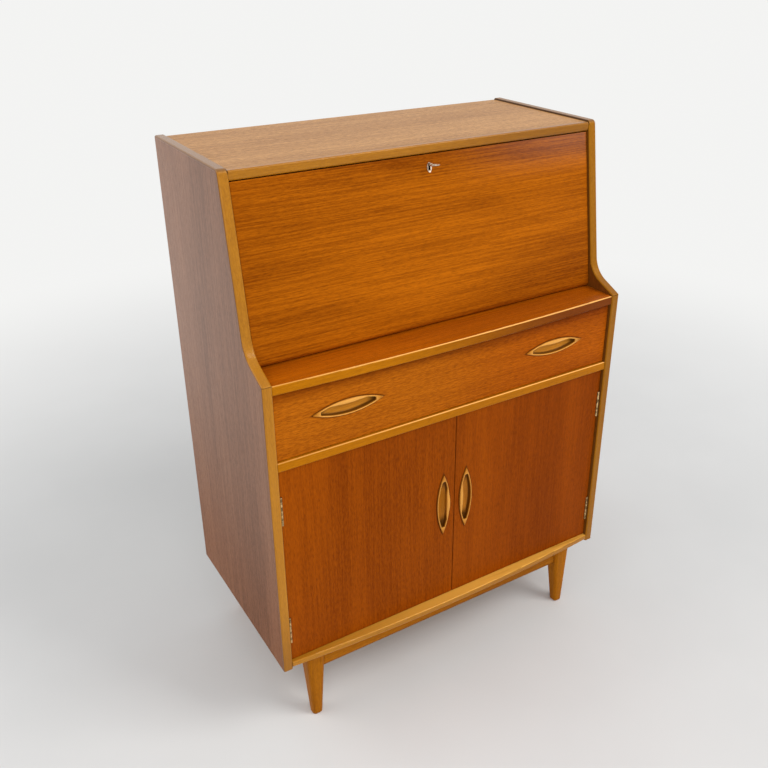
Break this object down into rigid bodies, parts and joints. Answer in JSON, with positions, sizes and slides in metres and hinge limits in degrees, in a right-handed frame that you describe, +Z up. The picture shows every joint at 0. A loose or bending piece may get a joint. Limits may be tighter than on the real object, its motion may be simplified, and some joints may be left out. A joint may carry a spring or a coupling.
{
  "type": "secretary desk",
  "caption": "Slim veneered secretary desk on tapered legs: a sloping drop front opens to a writing surface over pigeonholes, above a wide drawer and a two-door cupboard.",
  "frame": {"origin": "centre of the bounding box on the floor plane, under the carcase", "axes": "+X to the right seen from the front, +Y from the front to the back, +Z up"},
  "size_m": [0.76, 0.4209, 1.071],
  "materials": {
    "golden_wood": "satin solid wood edging",
    "side_veneer": "satin veneer, vertical grain",
    "top_veneer": "satin veneer, grain along the width",
    "ledge_veneer": "satin veneer, grain along the width",
    "fall_veneer": "satin veneer, long horizontal streaks",
    "drawer_veneer": "satin veneer, horizontal grain",
    "door_veneer": "satin veneer, vertical grain",
    "pull_wood": "shaped solid wood, satin",
    "frame_wood": "satin solid wood",
    "interior_wood": "plain veneered board",
    "drawer_box_wood": "pale unfinished solid wood",
    "back_board": "plain back board",
    "brass_fittings": "dull brass",
    "steel_fittings": "nickel-bright steel"
  },
  "bodies": {
    "carcase": {"left_side_lipping": "golden_wood", "right_side_lipping": "golden_wood", "top_lipping": "golden_wood", "ledge_rail": "golden_wood", "divider_rail": "golden_wood", "bottom_rail": "golden_wood", "left_side_panel": "side_veneer", "right_side_panel": "side_veneer", "top_panel": "top_veneer", "ledge_board": "ledge_veneer", "left_front_leg": "frame_wood", "right_front_leg": "frame_wood", "left_rear_leg": "frame_wood", "right_rear_leg": "frame_wood", "front_apron": "frame_wood", "rear_apron": "frame_wood", "left_frame_rail": "frame_wood", "right_frame_rail": "frame_wood", "desk_floor": "interior_wood", "pigeonhole_shelf": "interior_wood", "left_pigeonhole_divider": "interior_wood", "middle_pigeonhole_divider": "interior_wood", "right_pigeonhole_divider": "interior_wood", "divider_board": "interior_wood", "bottom_board": "interior_wood", "cupboard_shelf": "interior_wood", "door_stop_strip": "interior_wood", "fall_stops": "interior_wood", "drawer_runners": "drawer_box_wood", "back_panel": "back_board", "left_hinge_case_leaves": "brass_fittings", "right_hinge_case_leaves": "brass_fittings", "left_hinge_pins": "brass_fittings", "right_hinge_pins": "brass_fittings", "pivot_bushes": "brass_fittings", "keeper_plate": "brass_fittings", "shelf_pegs": "brass_fittings", "back_screws": "steel_fittings"},
    "fall": {"fall_panel": "fall_veneer", "pivot_pins": "steel_fittings", "lock_case": "brass_fittings", "escutcheon": "steel_fittings"},
    "key": {"key": "steel_fittings"},
    "bolt": {"lock_bolt": "steel_fittings"},
    "drawer": {"drawer_front": "drawer_veneer", "left_drawer_side": "drawer_box_wood", "right_drawer_side": "drawer_box_wood", "drawer_back": "drawer_box_wood", "drawer_bottom": "drawer_box_wood", "left_drawer_pull": "pull_wood", "right_drawer_pull": "pull_wood"},
    "left_door": {"left_door_panel": "door_veneer", "left_door_pull": "pull_wood", "left_hinge_door_leaves": "brass_fittings"},
    "right_door": {"right_door_panel": "door_veneer", "right_door_pull": "pull_wood", "right_hinge_door_leaves": "brass_fittings"}
  },
  "joints": [
    {"name": "fall_drop", "type": "hinge", "parent": "carcase", "child": "fall", "pos_m": [0, -0.1185, 0.7595], "axis": [1, 0, 0], "range_deg": [0, 98.9]},
    {"name": "key_turn", "type": "hinge", "parent": "fall", "child": "key", "pos_m": [0, -0.08493, 1.03201], "axis": [0, -0.988, 0.1547], "range_deg": [0, 90]},
    {"name": "bolt_throw", "type": "slide", "parent": "fall", "child": "bolt", "axis": [0, 0.1547, 0.988], "range_m": [0, 0.006]},
    {"name": "drawer_slide", "type": "slide", "parent": "carcase", "child": "drawer", "axis": [0, -1, 0], "range_m": [0, 0.27]},
    {"name": "left_door_swing", "type": "hinge", "parent": "carcase", "child": "left_door", "pos_m": [-0.3594, -0.189, 0.381], "axis": [0, 0, -1], "range_deg": [0, 100]},
    {"name": "right_door_swing", "type": "hinge", "parent": "carcase", "child": "right_door", "pos_m": [0.3594, -0.189, 0.381], "axis": [0, 0, 1], "range_deg": [0, 100]}
  ],
  "couplings": [
    {"joint": "bolt_throw", "follows": "key_turn", "m_per_rad": 0.0038197}
  ]
}
